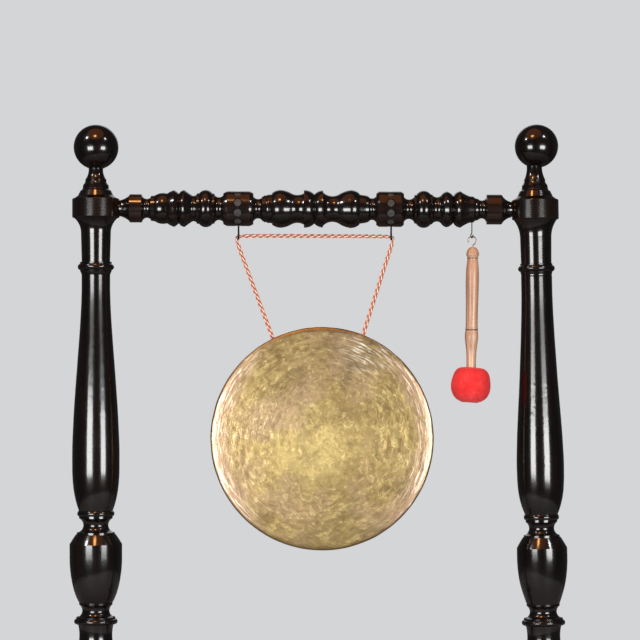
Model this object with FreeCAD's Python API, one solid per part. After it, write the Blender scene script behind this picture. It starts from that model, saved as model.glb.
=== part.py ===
import FreeCAD, Part
import math
import os
from FreeCAD import Vector

# A hanging gong on a turned, ebonised floor stand, with its mallet.
# Millimetres. X runs along the rail, the gong faces -Y and Z is up.
# The pieces are laid out from the rail's middle, and saved with the origin on the floor
# under the middle of the whole object.

# ---- driving sizes ----
POST_SPACING = 995.0        # between the posts' axes, at the rail
RAIL_HEIGHT = 1411.0        # of the rail's axis above the floor
POST_LEAN = {"left": 0.3, "right": 1.25}    # degrees, with the foot towards +X
FOOT_TOP = 150.0            # where the posts stand on the trestle feet
STRETCHER_HEIGHT = 372.0
CENTRE_X = 12.58            # the middle of the whole width, which the leaning posts shift
FIT = 0.05                  # radial clearance of a spigot or peg in its hole
GAP = 0.3                   # air between pieces that move past each other

POST_X = POST_SPACING / 2
SIDES = {"left": -1, "right": 1}
ENDS = {"front": -1, "back": 1}

# Each post is turned by eye, so the two differ a little. Every entry is a radius or a length along the post.
LEFT_POST = {
    "drum_radius": 53.6, "drum_height": 43.5,
    "throat_length": 36.0, "throat_middle": 36.8, "throat_radius": 33.8,
    "neck_length": 64.5, "neck_radius": 32.0,
    "ring_radius": 41.2, "ring_fillet": 36.0,
    "baluster_length": 532.0, "baluster_top": 32.3,
    "baluster_swell": [(0.10, 32.7), (0.27, 37.9), (0.50, 47.0), (0.80, 53.6), (0.93, 48.6)],
    "baluster_foot": 38.4,
    "collar_radius": 42.0, "scotia_radius": 28.3, "scotia_length": 32.0,
    "shoulder_radius": 43.0, "shoulder_length": 22.0,
    "vase_radius": 59.3, "vase_length": 131.5, "vase_fall": (1.4, 5.3, 11.6), "waist_radius": 30.7,
    "finial_stretch": 1.0, "ball_radius": 50.9, "ball_height": 116.8, "ball_neck": 16.4, "ball_shift": 0.6,
}
RIGHT_POST = {
    "drum_radius": 53.1, "drum_height": 45.0,
    "throat_length": 39.0, "throat_middle": 38.8, "throat_radius": 35.5,
    "neck_length": 61.0, "neck_radius": 34.4,
    "ring_radius": 41.6, "ring_fillet": 36.4,
    "baluster_length": 536.5, "baluster_top": 35.0,
    "baluster_swell": [(0.10, 35.3), (0.27, 38.7), (0.50, 45.5), (0.82, 53.4), (0.94, 47.6)],
    "baluster_foot": 37.0,
    "collar_radius": 39.7, "scotia_radius": 28.3, "scotia_length": 30.0,
    "shoulder_radius": 40.5, "shoulder_length": 24.0,
    "vase_radius": 56.8, "vase_length": 126.0, "vase_fall": (1.8, 5.8, 12.4), "waist_radius": 30.3,
    "finial_stretch": 1.06, "ball_radius": 49.3, "ball_height": 121.6, "ball_neck": 17.4, "ball_shift": 5.6,
}

FINIAL_SPIGOT_RADIUS = 12.0
FINIAL_SPIGOT_DEPTH = 25.0

TENON_RADIUS = 13.0         # of the round tenons of the rail and the stretcher
TENON_LENGTH = 40.0
PEG_RADIUS = 4.0
PEG_LENGTH = 62.0
PEG_INSET = 27.0            # from the post's axis towards the middle of the stand
PEG_PROUD = 1.5             # how far a peg's head stands out of the drum
RAIL_END_RADIUS = 20.0      # of a rail's square end beside a post

LOWER_DRUM_RADIUS = 53.0    # of the lower drum that takes the stretcher, and of the post's base
LOWER_DRUM_HEIGHT = 50.0
POST_TENON_RADIUS = 18.0    # the post's own tenon in its trestle foot
POST_TENON_LENGTH = 70.0

BLOCK_RADIUS = 39.6         # the two plain blocks of the rail that carry the rosettes
LEFT_BLOCK_X = -175.5
RIGHT_BLOCK_X = 170.0
ROSETTES_ROUND_BLOCK = 10
ROSETTE_RADIUS = 9.6
ROSETTE_SINKING = 3.0
ROSETTE_THICKNESS = 1.6

HOOK_WIRE = 2.0             # radius of the gong hooks' wire
HOOK_BEND = 8.5             # radius of the gong hooks' eye, to the wire's centre
LEFT_HOOK_X = -174.2
RIGHT_HOOK_X = 171.4
HOOK_SADDLE = 1342.2        # height of the wire's centre where the cord rests
HOOK_SCREW = 14.0           # how far under the rail's axis the screwed shanks end

CORD_RADIUS = 4.7
CORD_WRAP = 7.4             # radius of the cord's centreline round the hook
KNOT_RADIUS = 9.5
KNOT_LENGTH = 18.0
KNOT_GAP = 1.5              # between the rim and the knot

GONG_RADIUS = 252.0
GONG_X = 16.6
GONG_Z = 891.2
GONG_FACE = 1.7             # thickness of the face
GONG_RIM = 3.6              # thickness of the turned-back rim
GONG_SHOULDER = 219.0       # radius where the faint dome begins to roll back
GONG_SHOULDER_TILT = 2.7    # degrees
GONG_EDGE = 248.0           # radius where the roll gives way to the bend of the rim
GONG_EDGE_TILT = 20.0
GONG_DEPTH = 70.0           # from the middle of the face to the back of the rim
GONG_LEAN = 3.0             # how much smaller the rim's back edge is, in radius
GONG_FRONT_Y = -22.5        # so that the centre of mass hangs under the holes
HOLE_RADIUS = 6.0
LEFT_HOLE_ANGLE = -26.4     # degrees from the top, seen from the front
RIGHT_HOLE_ANGLE = 21.4

MALLET_X = 354.2            # of the rail's small hook, which the mallet hangs from
MALLET_HOOK_WIRE = 1.2
MALLET_HOOK_BEND = 5.0
MALLET_HOOK_TURN = 25.0     # degrees that the rail's small hook is turned out of the Y-Z plane
MALLET_HOOK_SADDLE = 1346.6
EYE_WIRE = 1.5
EYE_BEND = 9.2
EYE_LEAN = 5.0              # degrees that the mallet's own hook is screwed in askew
MALLET_LEAN = 0.68          # degrees that the handle leans, with its top towards +X
HANDLE_TOP = 1325.2
HEAD_X = 352.7
HEAD_TOP = 1053.4
HEAD_BOTTOM = 972.6
HEAD_RADIUS = 45.2
CORE_RADIUS = 37.0
HEAD_SCREW_RADIUS = 2.0

FOOT_LENGTH = 470.0
FOOT_WIDTH = 74.0
FOOT_ARCH = 62.0            # height of the arch under the foot's middle
BUN_RADIUS = 31.0
BUN_HEIGHT = 34.0
BUN_LAP = 4.0               # how far the bun's waist is let into the trestle foot
BUN_INSET = 50.0            # from the foot's end to the bun's axis
BUN_SPIGOT_RADIUS = 10.0
BUN_SPIGOT_LENGTH = 24.0

BOLT_RADIUS = 5.0
BOLT_HEAD_RADIUS = 9.0
BOLT_HEAD_HEIGHT = 7.0
BOLT_REACH = 25.0           # how far the bolt goes into the post above the foot
WASHER_RADIUS = 13.0
WASHER_THICKNESS = 2.0


class Turning:
    """The half outline of a turned piece, walked along its axis; it ends as a solid about Z."""

    def __init__(self, start, direction):
        self.start = start
        self.direction = direction
        self.here = Vector(0, 0, start)
        self.edges = []

    def _point(self, along, radius):
        return self.here + Vector(radius - self.here.x, 0, along * self.direction)

    def _line(self, target):
        if target.distanceToPoint(self.here) > 1e-6:
            self.edges.append(Part.LineSegment(self.here, target).toShape())
            self.here = target

    def step(self, radius):
        """A square shoulder in or out to this radius."""
        self._line(self._point(0, radius))

    def run(self, length, radius=None):
        """A straight run, which tapers when it is given an end radius."""
        self._line(self._point(length, self.here.x if radius is None else radius))

    def run_to(self, height, radius=None):
        """A straight run as far as this height."""
        self.run(abs(height - self.here.z), radius)

    def arc(self, length, radius, crown, at=0.5):
        """A bead or cove to an end radius, through the crown radius part of the way along."""
        middle = self._point(length * at, crown)
        target = self._point(length, radius)
        self.edges.append(Part.Arc(self.here, middle, target).toShape())
        self.here = target

    def swell(self, length, radius, through):
        """A long smooth curve through (share of the length, radius) pairs."""
        points = [self.here]
        for share, width in through:
            points.append(self._point(length * share, width))
        target = self._point(length, radius)
        points.append(target)
        curve = Part.BSplineCurve()
        curve.interpolate(points)
        self.edges.append(curve.toShape())
        self.here = target

    def solid(self):
        """Closes the outline along the axis and turns it."""
        self._line(Vector(0, 0, self.here.z))
        self._line(Vector(0, 0, self.start))
        face = Part.Face(Part.Wire(Part.__sortEdges__(self.edges)))
        turned = face.revolve(Vector(0, 0, 0), Vector(0, 0, 1), 360)
        return outward(turned)


def outward(shape):
    """The shape as one valid solid with its faces looking out."""
    solid = shape.Solids[0] if shape.Solids else Part.Solid(shape)
    if solid.Volume < 0:
        solid.reverse()
    return solid


def save(name, *solids):
    """Writes one node, made of one or more solids."""
    shape = solids[0] if len(solids) == 1 else Part.makeCompound(list(solids))
    shape.translate(Vector(-CENTRE_X, 0, 0))
    assert shape.isValid(), name
    shape.exportStep("parts/" + name + ".step")
    print(f"{name}: {len(shape.Solids)} solids, {shape.Volume / 1000:.2f} cm3")


def along_x(shape, x, z):
    """Lays a piece turned about Z along X, with its start at x."""
    laid = shape.copy()
    laid.rotate(Vector(0, 0, 0), Vector(0, 1, 0), 90)
    laid.translate(Vector(x, 0, z))
    return laid


def rod(radius, start, end):
    """A plain round rod between two points."""
    return Part.makeCylinder(radius, end.distanceToPoint(start), start, end - start)


def stand_at(shape, side):
    """Moves a piece made about the Z axis to its post, which leans about its rail joint."""
    placed = shape.copy()
    placed.translate(Vector(SIDES[side] * POST_X, 0, 0))
    placed.rotate(Vector(SIDES[side] * POST_X, 0, RAIL_HEIGHT), Vector(0, 1, 0), -POST_LEAN[side])
    return placed


def on_post(side, height):
    """The point of a post's axis that is made at this height."""
    point = Part.Vertex(0, 0, height)
    return stand_at(point, side).Point


# ---- posts and finials ----
def post_outline(size):
    """A post from its top down to the trestle foot."""
    drum_top = RAIL_HEIGHT + size["drum_height"] / 2
    t = Turning(drum_top, -1)
    t.step(size["drum_radius"] - 2)
    t.arc(2, size["drum_radius"], size["drum_radius"] - 0.6)
    t.run(size["drum_height"] - 4)
    t.arc(2, size["drum_radius"] - 2, size["drum_radius"] - 0.6)
    t.step(size["drum_radius"] - 4)
    t.arc(size["throat_length"], size["throat_radius"], size["throat_middle"])
    t.run(size["neck_length"], size["neck_radius"])
    # the ring below the neck, between two fillets
    t.step(size["ring_fillet"])
    t.run(4)
    t.arc(14, size["ring_fillet"], size["ring_radius"])
    t.run(4, size["ring_fillet"] - 0.8)
    t.arc(8, size["baluster_top"], (size["baluster_top"] + size["ring_fillet"]) / 2 - 1)
    t.swell(size["baluster_length"], size["baluster_foot"], size["baluster_swell"])
    # the collar, the scotia and the shoulder of the vase
    t.arc(12, size["collar_radius"] - 2, size["collar_radius"])
    t.step(size["collar_radius"] - 4)
    t.run(5)
    t.arc(size["scotia_length"], size["shoulder_radius"] - 2, size["scotia_radius"], at=0.42)
    t.step(size["shoulder_radius"])
    t.run(4.5)
    t.step(size["shoulder_radius"] + 2)
    vase = size["vase_radius"]
    t.arc(size["shoulder_length"], vase, (size["shoulder_radius"] + vase) / 2 + 1.4)
    swell = [(0.23, vase)]
    for share, fall in zip((0.44, 0.64, 0.83), size["vase_fall"]):
        swell.append((share, vase - fall))
    t.swell(size["vase_length"], size["waist_radius"] + 7, swell)
    t.run(4.5)
    t.arc(28, 40, size["waist_radius"], at=0.45)
    lower_post(t)
    t.step(POST_TENON_RADIUS)
    t.run(POST_TENON_LENGTH)
    return t.solid()


def lower_post(t):
    """The rest of a post: a ring, the drum that takes the stretcher, a bulb, and the base on the foot."""
    t.step(44)
    t.run(4)
    t.arc(12, 44, 49)
    t.step(40)
    drum_top = STRETCHER_HEIGHT + LOWER_DRUM_HEIGHT / 2
    t.arc(t.here.z - drum_top, 50, 37, at=0.35)
    t.step(LOWER_DRUM_RADIUS)
    t.run(LOWER_DRUM_HEIGHT)
    t.step(49)
    t.arc(24, 33, 36)
    t.swell(116, 35, [(0.3, 43), (0.62, 51), (0.85, 45)])
    t.step(41)
    t.arc(12, 41, 45)
    t.step(36)
    t.arc(14, 46, 34, at=0.45)
    t.step(LOWER_DRUM_RADIUS)
    t.run_to(FOOT_TOP)


def bored_post(side, size):
    """A post with the holes for its finial, rail, stretcher, pegs and bolt."""
    post = stand_at(post_outline(size), side)
    drum_top = RAIL_HEIGHT + size["drum_height"] / 2
    finial_hole = Part.makeCylinder(FINIAL_SPIGOT_RADIUS + FIT, FINIAL_SPIGOT_DEPTH + 2,
                                    Vector(0, 0, drum_top - FINIAL_SPIGOT_DEPTH - 1))
    cutters = [stand_at(finial_hole, side)]
    for height in (RAIL_HEIGHT, STRETCHER_HEIGHT):
        cutters.append(tenon(side, height, TENON_RADIUS + FIT, TENON_LENGTH + 1))
        cutters.append(peg(side, height, PEG_RADIUS + FIT, 1))
    cutters.append(foot_bolt_shank(side, BOLT_RADIUS + FIT, 1))
    return outward(post.cut(cutters))


def finial(side, size):
    """The ball, a little off its axis, with its neck, moulded foot and spigot."""
    drum_top = RAIL_HEIGHT + size["drum_height"] / 2
    stretch = size["finial_stretch"]
    t = Turning(drum_top - FINIAL_SPIGOT_DEPTH, 1)
    t.step(FINIAL_SPIGOT_RADIUS)
    t.run_to(drum_top)
    t.step(50)
    t.run(6.5 * stretch, 40.5)
    t.run(11.5 * stretch, 34.8)
    t.arc(5 * stretch, 29.8, 31.4)
    t.run(7.5 * stretch, 29)
    t.arc(7.5 * stretch, 24, 26)
    t.run(5 * stretch)
    # the cove of the neck runs into the ball
    ball_radius = size["ball_radius"]
    neck = size["ball_neck"]
    ball_centre = drum_top + size["ball_height"]
    neck_top = ball_centre - math.sqrt(ball_radius ** 2 - neck ** 2)
    t.arc(neck_top - t.here.z, neck, neck + 1.2, at=0.5)
    t.run_to(ball_centre)
    ball = Part.makeSphere(ball_radius, Vector(size["ball_shift"], 0, ball_centre))
    return stand_at(outward(t.solid().fuse(ball)), side)


# ---- top rail ----
def rail_left_half(t):
    """From the left post to the left rosette block."""
    t.arc(23, 30, 22.6, at=0.55)
    t.step(32.2)
    t.run(27)
    t.run(2, 28)
    t.arc(19, 26, 21.6)
    t.step(28.5)
    t.run(4)
    t.step(29.2)
    t.run(4.5)
    t.arc(28, 34, 35)
    t.arc(16, 42, 39.2, at=0.55)
    t.arc(11, 34, 38, at=0.55)
    t.arc(12, 42.2, 39.4, at=0.4)
    t.arc(15.5, 31.2, 36.6)
    t.arc(13, 33, 29, at=0.45)
    t.step(34.8)
    t.run(5)
    t.arc(30.5, 34.5, 42.4, at=0.46)
    t.run(4.5)
    t.step(32)
    t.arc(20, 31, 26)


def rosette_block(t, radius, length, corner):
    """A plain block with softened corners."""
    t.step(radius - 4.4)
    t.arc(corner, radius, radius - 1.9)
    t.run(length - 2 * corner)
    t.arc(corner, radius - 4.4, radius - 1.7)


def rail_centre(t):
    """The two vases between the rosette blocks, foot to foot."""
    t.step(29.5)
    t.arc(20, 27, 22.2)
    t.step(28.6)
    t.run(3.5)
    t.step(30.5)
    t.run(5.5)
    t.arc(9.5, 32, 32.4)
    t.step(33)
    t.run(4)
    t.step(36.4)
    t.arc(20, 43.1, 41.3, at=0.45)
    t.arc(21.5, 36.7, 40.8, at=0.55)
    t.arc(30.5, 36, 31.9, at=0.56)
    t.step(42.8)
    t.run(3)
    t.arc(20.5, 33.6, 40.4)
    t.arc(19.5, 42.4, 40.2)
    t.step(39)
    t.arc(38, 34.6, 29.6, at=0.45)
    t.arc(24, 43.2, 40.7, at=0.55)
    t.arc(20.5, 35.6, 41.6)
    t.step(33.4)
    t.arc(15, 31, 32.3)
    t.run(5.5, 29.2)
    t.arc(17.5, 31.5, 24.5, at=0.45)


def rail_right_half(t):
    """From the right rosette block to the right post."""
    t.step(29.6)
    t.arc(24, 31, 22.2, at=0.45)
    t.step(32.7)
    t.run(4)
    t.arc(33, 34.2, 42.3, at=0.52)
    t.run(3)
    t.arc(22, 34.4, 27.8)
    t.arc(11, 40.8, 38.8)
    t.arc(15, 30.5, 38.2, at=0.45)
    t.arc(16, 41.6, 38.6, at=0.45)
    t.arc(20, 30.4, 35.2)
    t.run(10.5, 29.4)
    t.step(28)
    t.arc(9.5, 24.5, 25.4)
    t.arc(19, 30.5, 20.4, at=0.48)
    t.step(34)
    t.run(33)
    t.run(2.5, 32.4)
    t.run(2, 29)


def top_rail():
    """The turned rail with its tenons, rosette sinkings and hook holes."""
    start = -rail_reach("left")
    end = rail_reach("right")
    t = Turning(start - TENON_LENGTH, 1)
    t.step(TENON_RADIUS)
    t.run_to(start)
    t.step(18)
    rail_left_half(t)
    rosette_block(t, BLOCK_RADIUS, 68, 9)
    rail_centre(t)
    rosette_block(t, BLOCK_RADIUS + 0.6, 62.5, 6.5)
    rail_right_half(t)
    t.arc(end - t.here.z, 17.6, 20.8, at=0.5)
    t.step(TENON_RADIUS)
    t.run(TENON_LENGTH)
    rail = along_x(t.solid(), 0, RAIL_HEIGHT)
    cutters = []
    for x in (LEFT_BLOCK_X, RIGHT_BLOCK_X):
        for angle in rosette_angles():
            cutters.append(rosette_disc(x, angle, ROSETTE_RADIUS + FIT, ROSETTE_SINKING + 3))
    for x in (LEFT_HOOK_X, RIGHT_HOOK_X):
        cutters.append(hook_hole(x, HOOK_WIRE))
    cutters.append(hook_hole(MALLET_X, MALLET_HOOK_WIRE))
    for side in SIDES:
        cutters.append(peg(side, RAIL_HEIGHT, PEG_RADIUS + FIT, 1))
    return outward(rail.cut(cutters))


def hook_hole(x, wire):
    """The hole in the rail's underside that a hook screws into."""
    return rod(wire + FIT, Vector(x, 0, RAIL_HEIGHT - 60), Vector(x, 0, RAIL_HEIGHT - HOOK_SCREW))


def rosette_angles():
    """Degrees round the rail from its front, starting at the top."""
    return [90 - i * 360 / ROSETTES_ROUND_BLOCK for i in range(ROSETTES_ROUND_BLOCK)]


def rosette_disc(x, angle, radius, thickness):
    """A disc let into a block, standing this thick above the bottom of its sinking."""
    turn = math.radians(angle)
    out = Vector(0, -math.cos(turn), math.sin(turn))
    floor = Vector(x, 0, RAIL_HEIGHT) + out * (BLOCK_RADIUS - ROSETTE_SINKING)
    return Part.makeCylinder(radius, thickness, floor, out)


def rosettes(x, hook_x):
    """The carved roundels round one block; the lowest is drilled for the gong hook."""
    hole = hook_hole(hook_x, HOOK_WIRE)
    discs = []
    for angle in rosette_angles():
        disc = rosette_disc(x, angle, ROSETTE_RADIUS, ROSETTE_THICKNESS)
        boss = rosette_disc(x, angle, ROSETTE_RADIUS * 0.3, ROSETTE_THICKNESS + 0.8)
        discs.append(outward(disc.fuse(boss).cut(hole)))
    return discs


# ---- joints of the frame ----
def tenon(side, height, radius, length):
    """The round end of the rail or the stretcher, from the post's face inwards."""
    face = rail_reach(side) if height == RAIL_HEIGHT else stretcher_reach(side)
    sign = SIDES[side]
    return rod(radius, Vector(sign * (face - 10), 0, height), Vector(sign * (face + length), 0, height))


def peg(side, height, radius, extra):
    """A peg from the back of the post's drum, through the tenon."""
    x = on_post(side, height).x - SIDES[side] * PEG_INSET
    back = math.sqrt(LOWER_DRUM_RADIUS ** 2 - PEG_INSET ** 2) + PEG_PROUD
    return rod(radius, Vector(x, back + extra, height), Vector(x, back - PEG_LENGTH - extra, height))


def lean_room(side):
    """The air that keeps a rail's square end clear of the leaning post beside it."""
    return 0.1 + RAIL_END_RADIUS * math.tan(math.radians(POST_LEAN[side]))


def rail_reach(side):
    """How far from the middle the rail meets a post's upper drum."""
    size = LEFT_POST if side == "left" else RIGHT_POST
    return POST_X - size["drum_radius"] - lean_room(side)


def stretcher_reach(side):
    """How far from the middle the stretcher meets a post's lower drum."""
    return abs(on_post(side, STRETCHER_HEIGHT).x) - LOWER_DRUM_RADIUS - lean_room(side)


def lower_stretcher():
    """The lower rail: plain turning about a central vase."""
    left = -stretcher_reach("left")
    right = stretcher_reach("right")
    t = Turning(left - TENON_LENGTH, 1)
    t.step(TENON_RADIUS)
    t.run_to(left)
    t.step(18)
    middle = (left + right) / 2
    ends = 150.0
    t.arc(22, 28, 20, at=0.55)
    t.step(31)
    t.arc(26, 31, 34)
    t.step(26)
    t.arc(18, 28, 22)
    t.step(32)
    t.run(5)
    t.swell(middle - ends - t.here.z, 25, [(0.3, 36), (0.6, 30)])
    t.step(31)
    t.arc(14, 31, 35)
    t.step(28)
    t.arc(2 * (ends - 14), 28, 39)
    t.step(31)
    t.arc(14, 31, 35)
    t.step(25)
    t.swell(right - 71 - t.here.z, 32, [(0.4, 30), (0.7, 36)])
    t.run(5)
    t.step(28)
    t.arc(18, 26, 22)
    t.step(31)
    t.arc(26, 31, 34)
    t.step(28)
    t.arc(right - t.here.z, 18, 20, at=0.45)
    t.step(TENON_RADIUS)
    t.run(TENON_LENGTH)
    cutters = [peg(side, STRETCHER_HEIGHT, PEG_RADIUS + FIT, 1) for side in SIDES]
    return outward(along_x(t.solid(), 0, STRETCHER_HEIGHT).cut(cutters))


# ---- trestle feet ----
def foot_bolt_shank(side, radius, extra):
    """The shank of the bolt that draws a post down on its foot."""
    return rod(radius, Vector(foot_x(side), 0, FOOT_ARCH + WASHER_THICKNESS - extra),
               Vector(foot_x(side), 0, FOOT_TOP + BOLT_REACH + extra))


def foot_x(side):
    """The middle of a trestle foot."""
    return on_post(side, FOOT_TOP - 30).x


def foot_side_curve(end):
    """The sweep from the foot's flat top, over the instep and round the toe, towards one end."""
    half = FOOT_LENGTH / 2
    toe_low = BUN_HEIGHT - BUN_LAP
    points = [
        Vector(0, end * 52, FOOT_TOP),
        Vector(0, end * 78, FOOT_TOP - 11),
        Vector(0, end * 118, FOOT_TOP - 55),
        Vector(0, end * (half - 50), toe_low + 46),
        Vector(0, end * (half - 12), toe_low + 36),
        Vector(0, end * half, toe_low + 19),
        Vector(0, end * (half - 16), toe_low),
    ]
    curve = Part.BSplineCurve()
    curve.interpolate(Points=points, InitialTangent=Vector(0, end, 0), FinalTangent=Vector(0, -end, 0))
    return curve


def foot(side):
    """A trestle foot: an arched sabre shape, seen along X, with its upper edges eased."""
    toe_low = BUN_HEIGHT - BUN_LAP
    front = foot_side_curve(-1)
    back = foot_side_curve(1)
    heel_front = Vector(0, -FOOT_LENGTH / 2 + 90, toe_low)
    heel_back = Vector(0, FOOT_LENGTH / 2 - 90, toe_low)
    arch_middle = Vector(0, 0, FOOT_ARCH)
    edges = [
        Part.LineSegment(back.StartPoint, front.StartPoint),
        front,
        Part.LineSegment(front.EndPoint, heel_front),
        Part.Arc(heel_front, arch_middle, heel_back),
        Part.LineSegment(heel_back, back.EndPoint),
        back,
    ]
    outline = Part.Wire(Part.__sortEdges__([edge.toShape() for edge in edges]))
    slab = Part.Face(outline).extrude(Vector(FOOT_WIDTH, 0, 0))
    upper = []
    for edge in slab.Edges:
        box = edge.BoundBox
        if box.XLength < 1e-6 and box.ZMax > FOOT_ARCH + 10:
            upper.append(edge)
    slab = slab.makeFillet(5, upper)
    slab.translate(Vector(foot_x(side) - FOOT_WIDTH / 2, 0, 0))
    socket = stand_at(Part.makeCylinder(POST_TENON_RADIUS + FIT, 90,
                                        Vector(0, 0, FOOT_TOP - POST_TENON_LENGTH - 1)), side)
    seat = stand_at(Part.makeCylinder(LOWER_DRUM_RADIUS + 1, 10, Vector(0, 0, FOOT_TOP)), side)
    recess = rod(WASHER_RADIUS + 2, Vector(foot_x(side), 0, 0), Vector(foot_x(side), 0, FOOT_ARCH + 4))
    cutters = [socket, seat, foot_bolt_shank(side, BOLT_RADIUS + FIT, 12), recess]
    for end in ENDS.values():
        cutters.append(bun_spigot(side, end, FIT, 1))
    return outward(slab.cut(cutters))


def bun_place(side, end):
    """The middle of a bun foot's underside, on the floor."""
    return Vector(foot_x(side), end * (FOOT_LENGTH / 2 - BUN_INSET), 0)


def bun_spigot(side, end, clearance, extra):
    """The spigot that holds a bun foot in the trestle foot."""
    base = bun_place(side, end) + Vector(0, 0, BUN_HEIGHT - BUN_LAP - 2)
    return Part.makeCylinder(BUN_SPIGOT_RADIUS + clearance, BUN_SPIGOT_LENGTH + 2 + extra, base)


def bun_foot(side, end):
    """A turned bun foot with its spigot."""
    t = Turning(0, 1)
    t.step(BUN_RADIUS - 9)
    t.arc(BUN_HEIGHT - 10, BUN_RADIUS - 8, BUN_RADIUS)
    t.step(BUN_RADIUS - 6)
    t.run_to(BUN_HEIGHT - BUN_LAP)
    t.step(BUN_SPIGOT_RADIUS)
    t.run(BUN_SPIGOT_LENGTH)
    bun = t.solid()
    bun.translate(bun_place(side, end))
    return bun


def foot_bolt(side):
    """A bolt with a hexagon head below the foot."""
    x = foot_x(side)
    low = FOOT_ARCH - WASHER_THICKNESS - BOLT_HEAD_HEIGHT
    corners = []
    for i in range(7):
        turn = math.radians(60 * i)
        spoke = Vector(math.cos(turn), math.sin(turn), 0) * BOLT_HEAD_RADIUS
        corners.append(Vector(x, 0, low) + spoke)
    head = Part.Face(Part.makePolygon(corners)).extrude(Vector(0, 0, BOLT_HEAD_HEIGHT))
    return outward(head.fuse(rod(BOLT_RADIUS, Vector(x, 0, low), Vector(x, 0, FOOT_TOP + BOLT_REACH))))


def foot_washer(side):
    x = foot_x(side)
    low = Vector(x, 0, FOOT_ARCH - WASHER_THICKNESS)
    disc = Part.makeCylinder(WASHER_RADIUS, WASHER_THICKNESS, low)
    return disc.cut(Part.makeCylinder(BOLT_RADIUS + FIT, WASHER_THICKNESS, low))


# ---- hooks ----
def question_hook(x, saddle, bend, wire, sweep, top=RAIL_HEIGHT - HOOK_SCREW):
    """A screw hook in the Y-Z plane: a shank on the axis and an open eye centred under it."""
    eye = Vector(x, 0, saddle + bend)
    easing = bend * 0.6
    rise = math.sqrt(bend ** 2 + 2 * bend * easing)
    shank_end = Vector(x, 0, eye.z + rise)
    easing_centre = shank_end + Vector(0, easing, 0)
    toward = (eye - easing_centre).normalize()
    join = easing_centre + toward * easing
    half = (Vector(0, -1, 0) + toward).normalize()
    easing_middle = easing_centre + half * easing
    start_turn = math.atan2(join.z - eye.z, join.y)

    def on_eye(turn):
        return eye + Vector(0, math.cos(turn), math.sin(turn)) * bend

    end_turn = start_turn - math.radians(sweep)
    path = Part.Wire([
        Part.LineSegment(Vector(x, 0, top), shank_end).toShape(),
        Part.Arc(shank_end, easing_middle, join).toShape(),
        Part.Arc(join, on_eye((start_turn + end_turn) / 2), on_eye(end_turn)).toShape(),
    ])
    section = Part.Wire(Part.makeCircle(wire, Vector(x, 0, top), Vector(0, 0, 1)))
    hook = outward(path.makePipeShell([section], True, True))
    tip = Part.makeSphere(wire, on_eye(end_turn))
    return outward(hook.fuse(tip))


def gong_hook(x):
    return question_hook(x, HOOK_SADDLE, HOOK_BEND, HOOK_WIRE, 265)


def mallet_hook():
    """The small hook on the rail that the mallet hangs from."""
    hook = question_hook(MALLET_X, MALLET_HOOK_SADDLE, MALLET_HOOK_BEND, MALLET_HOOK_WIRE, 260)
    hook.rotate(Vector(MALLET_X, 0, 0), Vector(0, 0, 1), MALLET_HOOK_TURN)
    return hook


def mallet_screw_hook():
    """The mallet's own hook: an eye open at the lower left, in the X-Z plane, on a shank in the handle."""
    crown = MALLET_HOOK_SADDLE + MALLET_HOOK_WIRE + EYE_WIRE + GAP
    shank_top = crown - HANDLE_TOP + 24
    hook = question_hook(0, 0, EYE_BEND, EYE_WIRE, 262, shank_top)
    hook.rotate(Vector(0, 0, 0), Vector(0, 0, 1), -90)
    hook.rotate(Vector(0, 0, 0), Vector(0, 1, 0), 180)
    hook.translate(Vector(MALLET_X, 0, crown))
    return hook


# ---- suspension cord ----
def hole_point(angle, radius):
    """A point of the gong's rim plane at an angle from the top."""
    turn = math.radians(angle)
    return Vector(GONG_X + radius * math.sin(turn), 0, GONG_Z + radius * math.cos(turn))


def wrap_points(hook_x, side, start):
    """The two corners of the route round a hook, between the level run and the hanging one."""
    centre = Vector(hook_x, 0, HOOK_SADDLE)
    reach = start - centre
    down = math.atan2(reach.z, reach.x * -side) + math.asin(CORD_WRAP / reach.Length)
    quarter = (math.pi + down) / 4
    corner = CORD_WRAP / math.cos(quarter)
    first = centre + Vector(math.sin(quarter) * side, 0, math.cos(quarter)) * corner
    second = centre + Vector(math.sin(3 * quarter) * side, 0, math.cos(3 * quarter)) * corner
    return first, second


def cord_route():
    """The corners of the cord's route, from the left knot over both hooks to the right knot."""
    left_hole = hole_point(LEFT_HOLE_ANGLE, GONG_RADIUS - GONG_RIM / 2)
    right_hole = hole_point(RIGHT_HOLE_ANGLE, GONG_RADIUS - GONG_RIM / 2)
    left_top, left_side = wrap_points(LEFT_HOOK_X, -1, left_hole)
    right_top, right_side = wrap_points(RIGHT_HOOK_X, 1, right_hole)
    left_in = left_hole + (left_hole - left_side).normalize() * (KNOT_GAP + GONG_RIM)
    right_in = right_hole + (right_hole - right_side).normalize() * (KNOT_GAP + GONG_RIM)
    return [left_in, left_side, left_top, right_top, right_side, right_in]


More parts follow.
